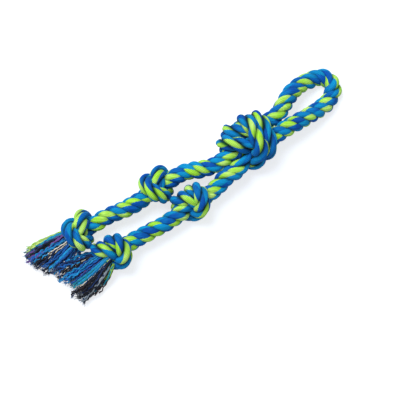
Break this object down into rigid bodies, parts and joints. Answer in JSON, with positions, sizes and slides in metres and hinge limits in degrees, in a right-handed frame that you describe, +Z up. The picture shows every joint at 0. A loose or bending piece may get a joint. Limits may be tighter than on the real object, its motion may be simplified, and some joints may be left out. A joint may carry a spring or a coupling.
{
  "type": "rope dog toy",
  "caption": "Laid cotton rope tug toy: doubled-back handle loop, large doubled knot, and knotted legs that end in frayed tassels.",
  "frame": {"origin": "middle of the footprint on the floor that the toy lies on", "axes": "+X from the tassels to the handle loop, +Y to the side of leg A, +Z up from the floor"},
  "size_m": [0.5834, 0.125, 0.0758],
  "materials": {
    "blue_cotton": "soft twisted cotton yarn, matte, royal blue",
    "azure_cotton": "soft twisted cotton yarn, matte, azure blue",
    "lime_cotton": "soft twisted cotton yarn, matte, lime green",
    "navy_yarn": "combed-out cotton yarn, matte, dark mixed blues"
  },
  "bodies": {
    "main_knot": {"main_knot_rope_a": "blue_cotton", "main_knot_rope_b": "lime_cotton"},
    "handle": {"handle_loop": "azure_cotton"},
    "leg_a_upper": {"upper_rope_a": "azure_cotton", "middle_knot_a": "blue_cotton"},
    "leg_a_lower": {"lower_rope_a": "azure_cotton", "end_knot_a": "lime_cotton"},
    "tassel_a_yarn": {"tassel_a": "navy_yarn"},
    "leg_b_upper": {"upper_rope_b": "azure_cotton", "middle_knot_b": "blue_cotton"},
    "leg_b_lower": {"lower_rope_b": "azure_cotton", "end_knot_b": "lime_cotton"},
    "tassel_b_yarn": {"tassel_b": "navy_yarn"}
  },
  "joints": [
    {"name": "handle_lift", "type": "hinge", "parent": "main_knot", "child": "handle", "pos_m": [0.16936, -0.00464, 0.03406], "axis": [0, -1, 0], "range_deg": [-60, 60]},
    {"name": "leg_a_swing", "type": "hinge", "parent": "main_knot", "child": "leg_a_upper", "pos_m": [0.04501, -0.00364, 0.03406], "axis": [0, 0, -1], "range_deg": [0, 35]},
    {"name": "leg_a_bend", "type": "hinge", "parent": "leg_a_upper", "child": "leg_a_lower", "pos_m": [-0.09954, 0.01941, 0.02671], "axis": [0, 1, 0], "range_deg": [-60, 60]},
    {"name": "tassel_a_flop", "type": "hinge", "parent": "leg_a_lower", "child": "tassel_a_yarn", "pos_m": [-0.24309, 0.02894, 0.02583], "axis": [0, 1, 0], "range_deg": [-50, 50]},
    {"name": "leg_b_swing", "type": "hinge", "parent": "main_knot", "child": "leg_b_upper", "pos_m": [0.04501, -0.02964, 0.03406], "axis": [0, 0, 1], "range_deg": [0, 35]},
    {"name": "leg_b_bend", "type": "hinge", "parent": "leg_b_upper", "child": "leg_b_lower", "pos_m": [-0.07254, -0.03505, 0.02671], "axis": [0, 1, 0], "range_deg": [-60, 60]},
    {"name": "tassel_b_flop", "type": "hinge", "parent": "leg_b_lower", "child": "tassel_b_yarn", "pos_m": [-0.22209, -0.02857, 0.02583], "axis": [0, 1, 0], "range_deg": [-50, 50]}
  ]
}
